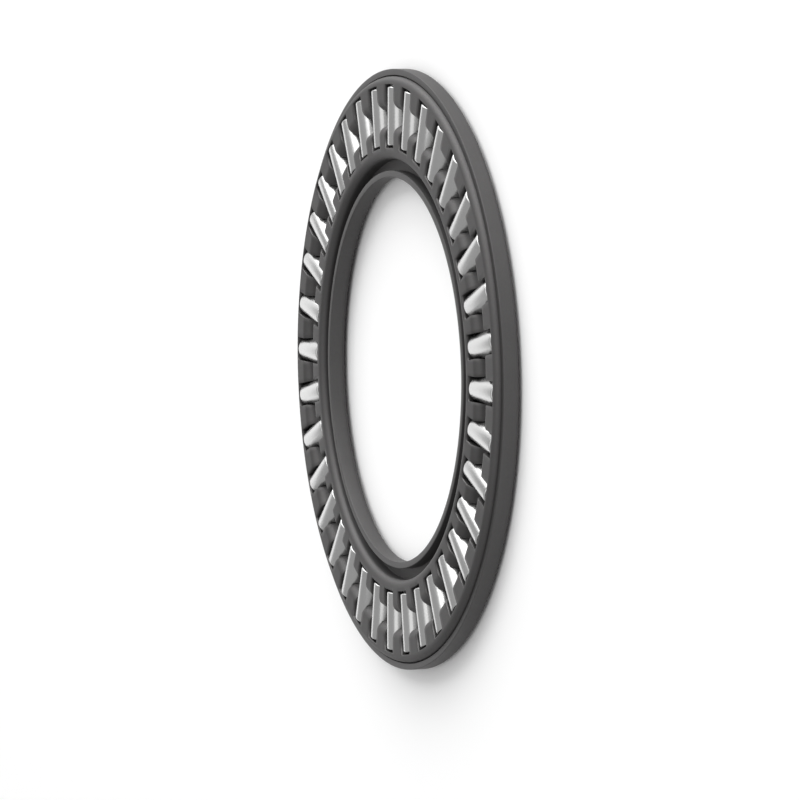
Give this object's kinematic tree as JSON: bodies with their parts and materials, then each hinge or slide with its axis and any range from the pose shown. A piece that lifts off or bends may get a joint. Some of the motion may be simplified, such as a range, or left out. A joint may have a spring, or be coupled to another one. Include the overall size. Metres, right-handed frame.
{
  "type": "needle thrust bearing",
  "caption": "Flat axial bearing ring: a pressed W-section sheet-steel cage holds radial needle rollers that stand slightly proud of both faces.",
  "frame": {"origin": "middle of the bearing: on its axis, halfway through its thickness, in the plane of the needle axes", "axes": "+Z along the bearing's axis, out of the face on which both rims of the cage stand open; the part lies flat on its needles; needle_01 lies 5 degrees from +X towards +Y and the others follow every 10 degrees, counterclockwise seen from +Z"},
  "size_m": [0.0468, 0.0468, 0.002],
  "materials": {
    "cage_steel": "dark satin cold-rolled steel sheet, pressed and case-hardened",
    "needle_steel": "bright ground and superfinished bearing steel"
  },
  "bodies": {
    "cage": {"cage": "cage_steel"},
    "needle_01": {"needle_01": "needle_steel"},
    "needle_02": {"needle_02": "needle_steel"},
    "needle_03": {"needle_03": "needle_steel"},
    "needle_04": {"needle_04": "needle_steel"},
    "needle_05": {"needle_05": "needle_steel"},
    "needle_06": {"needle_06": "needle_steel"},
    "needle_07": {"needle_07": "needle_steel"},
    "needle_08": {"needle_08": "needle_steel"},
    "needle_09": {"needle_09": "needle_steel"},
    "needle_10": {"needle_10": "needle_steel"},
    "needle_11": {"needle_11": "needle_steel"},
    "needle_12": {"needle_12": "needle_steel"},
    "needle_13": {"needle_13": "needle_steel"},
    "needle_14": {"needle_14": "needle_steel"},
    "needle_15": {"needle_15": "needle_steel"},
    "needle_16": {"needle_16": "needle_steel"},
    "needle_17": {"needle_17": "needle_steel"},
    "needle_18": {"needle_18": "needle_steel"},
    "needle_19": {"needle_19": "needle_steel"},
    "needle_20": {"needle_20": "needle_steel"},
    "needle_21": {"needle_21": "needle_steel"},
    "needle_22": {"needle_22": "needle_steel"},
    "needle_23": {"needle_23": "needle_steel"},
    "needle_24": {"needle_24": "needle_steel"},
    "needle_25": {"needle_25": "needle_steel"},
    "needle_26": {"needle_26": "needle_steel"},
    "needle_27": {"needle_27": "needle_steel"},
    "needle_28": {"needle_28": "needle_steel"},
    "needle_29": {"needle_29": "needle_steel"},
    "needle_30": {"needle_30": "needle_steel"},
    "needle_31": {"needle_31": "needle_steel"},
    "needle_32": {"needle_32": "needle_steel"},
    "needle_33": {"needle_33": "needle_steel"},
    "needle_34": {"needle_34": "needle_steel"},
    "needle_35": {"needle_35": "needle_steel"},
    "needle_36": {"needle_36": "needle_steel"}
  },
  "joints": [
    {"name": "needle_01_spin", "type": "hinge", "parent": "cage", "child": "needle_01", "pos_m": [0.01969, 0.00172, 0], "axis": [0.9962, 0.0872, 0], "continuous": true},
    {"name": "needle_02_spin", "type": "hinge", "parent": "cage", "child": "needle_02", "pos_m": [0.0191, 0.00512, 0], "axis": [0.9659, 0.2588, 0], "continuous": true},
    {"name": "needle_03_spin", "type": "hinge", "parent": "cage", "child": "needle_03", "pos_m": [0.01792, 0.00836, 0], "axis": [0.9063, 0.4226, 0], "continuous": true},
    {"name": "needle_04_spin", "type": "hinge", "parent": "cage", "child": "needle_04", "pos_m": [0.01619, 0.01134, 0], "axis": [0.8192, 0.5736, 0], "continuous": true},
    {"name": "needle_05_spin", "type": "hinge", "parent": "cage", "child": "needle_05", "pos_m": [0.01398, 0.01398, 0], "axis": [0.7071, 0.7071, 0], "continuous": true},
    {"name": "needle_06_spin", "type": "hinge", "parent": "cage", "child": "needle_06", "pos_m": [0.01134, 0.01619, 0], "axis": [0.5736, 0.8192, 0], "continuous": true},
    {"name": "needle_07_spin", "type": "hinge", "parent": "cage", "child": "needle_07", "pos_m": [0.00836, 0.01792, 0], "axis": [0.4226, 0.9063, 0], "continuous": true},
    {"name": "needle_08_spin", "type": "hinge", "parent": "cage", "child": "needle_08", "pos_m": [0.00512, 0.0191, 0], "axis": [0.2588, 0.9659, 0], "continuous": true},
    {"name": "needle_09_spin", "type": "hinge", "parent": "cage", "child": "needle_09", "pos_m": [0.00172, 0.01969, 0], "axis": [0.0872, 0.9962, 0], "continuous": true},
    {"name": "needle_10_spin", "type": "hinge", "parent": "cage", "child": "needle_10", "pos_m": [-0.00172, 0.01969, 0], "axis": [-0.0872, 0.9962, 0], "continuous": true},
    {"name": "needle_11_spin", "type": "hinge", "parent": "cage", "child": "needle_11", "pos_m": [-0.00512, 0.0191, 0], "axis": [-0.2588, 0.9659, 0], "continuous": true},
    {"name": "needle_12_spin", "type": "hinge", "parent": "cage", "child": "needle_12", "pos_m": [-0.00836, 0.01792, 0], "axis": [-0.4226, 0.9063, 0], "continuous": true},
    {"name": "needle_13_spin", "type": "hinge", "parent": "cage", "child": "needle_13", "pos_m": [-0.01134, 0.01619, 0], "axis": [-0.5736, 0.8192, 0], "continuous": true},
    {"name": "needle_14_spin", "type": "hinge", "parent": "cage", "child": "needle_14", "pos_m": [-0.01398, 0.01398, 0], "axis": [-0.7071, 0.7071, 0], "continuous": true},
    {"name": "needle_15_spin", "type": "hinge", "parent": "cage", "child": "needle_15", "pos_m": [-0.01619, 0.01134, 0], "axis": [-0.8192, 0.5736, 0], "continuous": true},
    {"name": "needle_16_spin", "type": "hinge", "parent": "cage", "child": "needle_16", "pos_m": [-0.01792, 0.00836, 0], "axis": [-0.9063, 0.4226, 0], "continuous": true},
    {"name": "needle_17_spin", "type": "hinge", "parent": "cage", "child": "needle_17", "pos_m": [-0.0191, 0.00512, 0], "axis": [-0.9659, 0.2588, 0], "continuous": true},
    {"name": "needle_18_spin", "type": "hinge", "parent": "cage", "child": "needle_18", "pos_m": [-0.01969, 0.00172, 0], "axis": [-0.9962, 0.0872, 0], "continuous": true},
    {"name": "needle_19_spin", "type": "hinge", "parent": "cage", "child": "needle_19", "pos_m": [-0.01969, -0.00172, 0], "axis": [-0.9962, -0.0872, 0], "continuous": true},
    {"name": "needle_20_spin", "type": "hinge", "parent": "cage", "child": "needle_20", "pos_m": [-0.0191, -0.00512, 0], "axis": [-0.9659, -0.2588, 0], "continuous": true},
    {"name": "needle_21_spin", "type": "hinge", "parent": "cage", "child": "needle_21", "pos_m": [-0.01792, -0.00836, 0], "axis": [-0.9063, -0.4226, 0], "continuous": true},
    {"name": "needle_22_spin", "type": "hinge", "parent": "cage", "child": "needle_22", "pos_m": [-0.01619, -0.01134, 0], "axis": [-0.8192, -0.5736, 0], "continuous": true},
    {"name": "needle_23_spin", "type": "hinge", "parent": "cage", "child": "needle_23", "pos_m": [-0.01398, -0.01398, 0], "axis": [-0.7071, -0.7071, 0], "continuous": true},
    {"name": "needle_24_spin", "type": "hinge", "parent": "cage", "child": "needle_24", "pos_m": [-0.01134, -0.01619, 0], "axis": [-0.5736, -0.8192, 0], "continuous": true},
    {"name": "needle_25_spin", "type": "hinge", "parent": "cage", "child": "needle_25", "pos_m": [-0.00836, -0.01792, 0], "axis": [-0.4226, -0.9063, 0], "continuous": true},
    {"name": "needle_26_spin", "type": "hinge", "parent": "cage", "child": "needle_26", "pos_m": [-0.00512, -0.0191, 0], "axis": [-0.2588, -0.9659, 0], "continuous": true},
    {"name": "needle_27_spin", "type": "hinge", "parent": "cage", "child": "needle_27", "pos_m": [-0.00172, -0.01969, 0], "axis": [-0.0872, -0.9962, 0], "continuous": true},
    {"name": "needle_28_spin", "type": "hinge", "parent": "cage", "child": "needle_28", "pos_m": [0.00172, -0.01969, 0], "axis": [0.0872, -0.9962, 0], "continuous": true},
    {"name": "needle_29_spin", "type": "hinge", "parent": "cage", "child": "needle_29", "pos_m": [0.00512, -0.0191, 0], "axis": [0.2588, -0.9659, 0], "continuous": true},
    {"name": "needle_30_spin", "type": "hinge", "parent": "cage", "child": "needle_30", "pos_m": [0.00836, -0.01792, 0], "axis": [0.4226, -0.9063, 0], "continuous": true},
    {"name": "needle_31_spin", "type": "hinge", "parent": "cage", "child": "needle_31", "pos_m": [0.01134, -0.01619, 0], "axis": [0.5736, -0.8192, 0], "continuous": true},
    {"name": "needle_32_spin", "type": "hinge", "parent": "cage", "child": "needle_32", "pos_m": [0.01398, -0.01398, 0], "axis": [0.7071, -0.7071, 0], "continuous": true},
    {"name": "needle_33_spin", "type": "hinge", "parent": "cage", "child": "needle_33", "pos_m": [0.01619, -0.01134, 0], "axis": [0.8192, -0.5736, 0], "continuous": true},
    {"name": "needle_34_spin", "type": "hinge", "parent": "cage", "child": "needle_34", "pos_m": [0.01792, -0.00836, 0], "axis": [0.9063, -0.4226, 0], "continuous": true},
    {"name": "needle_35_spin", "type": "hinge", "parent": "cage", "child": "needle_35", "pos_m": [0.0191, -0.00512, 0], "axis": [0.9659, -0.2588, 0], "continuous": true},
    {"name": "needle_36_spin", "type": "hinge", "parent": "cage", "child": "needle_36", "pos_m": [0.01969, -0.00172, 0], "axis": [0.9962, -0.0872, 0], "continuous": true}
  ]
}
